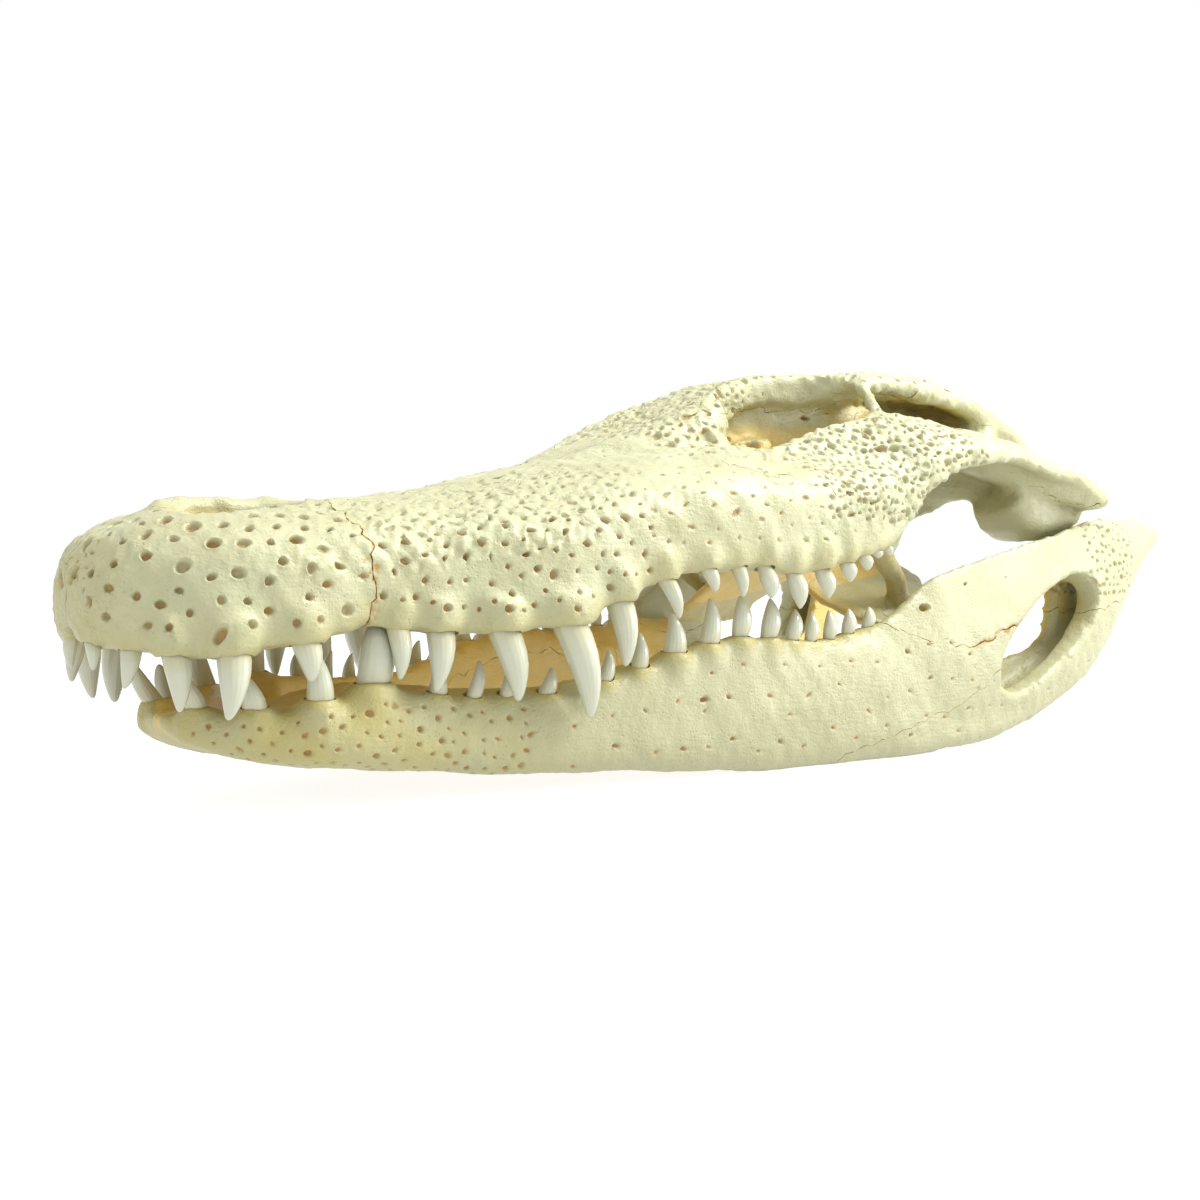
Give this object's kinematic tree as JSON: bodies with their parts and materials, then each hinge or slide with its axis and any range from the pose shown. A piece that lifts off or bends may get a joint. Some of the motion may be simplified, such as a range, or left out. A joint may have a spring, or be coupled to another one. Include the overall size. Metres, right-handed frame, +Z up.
{
  "type": "american alligator skull model",
  "caption": "Life-size museum model of an alligator's skull with its lower jaw, mouth a little open, standing on the lower jaw.",
  "frame": {"origin": "on the surface it stands on, under the middle of the skull's overall length and width", "axes": "-X towards the tip of the snout, +X towards the back of the jaws and along the longest extent, -Y towards the animal's left side, +Z up"},
  "size_m": [0.4185, 0.1602, 0.1343],
  "materials": {
    "bone": "dry pale bone with a soft sheen"
  },
  "bodies": {
    "root": {"angular_L": "bone", "angular_R": "bone", "articular_L": "bone", "articular_R": "bone", "braincase": "bone", "dentary_L": "bone", "dentary_R": "bone", "ectopterygoid_L": "bone", "ectopterygoid_R": "bone", "frontal": "bone", "jugal_L": "bone", "jugal_R": "bone", "lacrimal_L": "bone", "lacrimal_R": "bone", "maxilla_L": "bone", "maxilla_R": "bone", "nasal_L": "bone", "nasal_R": "bone", "palatine_L": "bone", "palatine_R": "bone", "parietal": "bone", "postorbital_L": "bone", "postorbital_R": "bone", "prefrontal_L": "bone", "prefrontal_R": "bone", "premaxilla_L": "bone", "premaxilla_R": "bone", "pterygoid_L": "bone", "pterygoid_R": "bone", "quadrate_L": "bone", "quadrate_R": "bone", "quadratojugal_L": "bone", "quadratojugal_R": "bone", "splenial_L": "bone", "splenial_R": "bone", "squamosal_L": "bone", "squamosal_R": "bone", "surangular_L": "bone", "surangular_R": "bone"}
  },
  "joints": []
}
